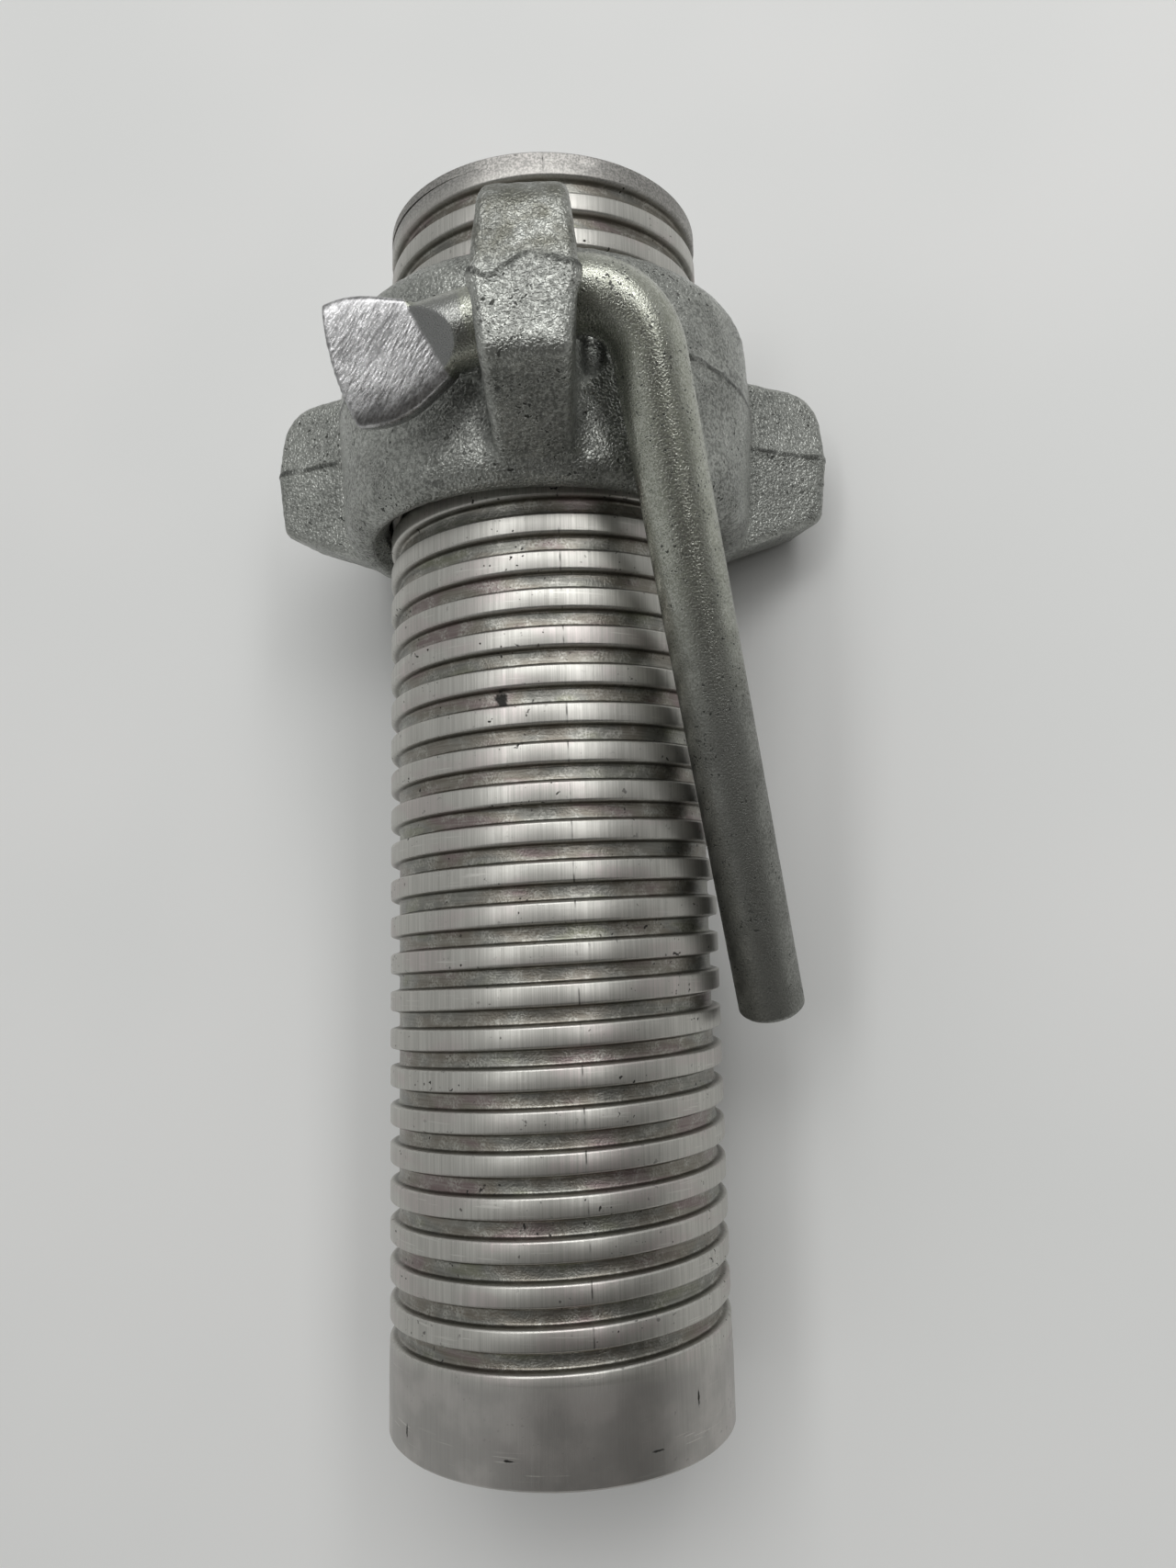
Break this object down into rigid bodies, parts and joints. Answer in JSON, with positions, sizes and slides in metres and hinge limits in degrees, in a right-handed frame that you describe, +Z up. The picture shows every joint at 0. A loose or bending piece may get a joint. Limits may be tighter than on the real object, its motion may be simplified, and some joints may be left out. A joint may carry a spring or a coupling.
{
  "type": "scaffolding prop nut",
  "caption": "Cast prop nut with wings and a swing handle through its eye, running on a coarse-threaded steel sleeve for setting the height of a telescopic prop.",
  "frame": {"origin": "centre of the sleeve's bore at its plain end", "axes": "+Y along the sleeve from the plain end to the nut, +Z up from the table that it lies on, leaning on one wing"},
  "size_m": [0.1122, 0.2195, 0.0992],
  "materials": {
    "sleeve_steel": "drawn and thread-rolled",
    "cast_nut": "galvanised casting",
    "handle_steel": "zinc plated"
  },
  "bodies": {
    "sleeve": {"threaded_sleeve": "sleeve_steel"},
    "nut": {"prop_nut": "cast_nut"},
    "handle": {"swing_handle": "handle_steel"}
  },
  "joints": [
    {"name": "nut_travel", "type": "slide", "parent": "sleeve", "child": "nut", "axis": [0, 1, 0], "range_m": [-0.135, 0.02]},
    {"name": "handle_swing", "type": "hinge", "parent": "nut", "child": "handle", "pos_m": [0.01005, 0.18, 0.04612], "axis": [-0.9771, 0, 0.2129], "range_deg": [0, 220]}
  ]
}
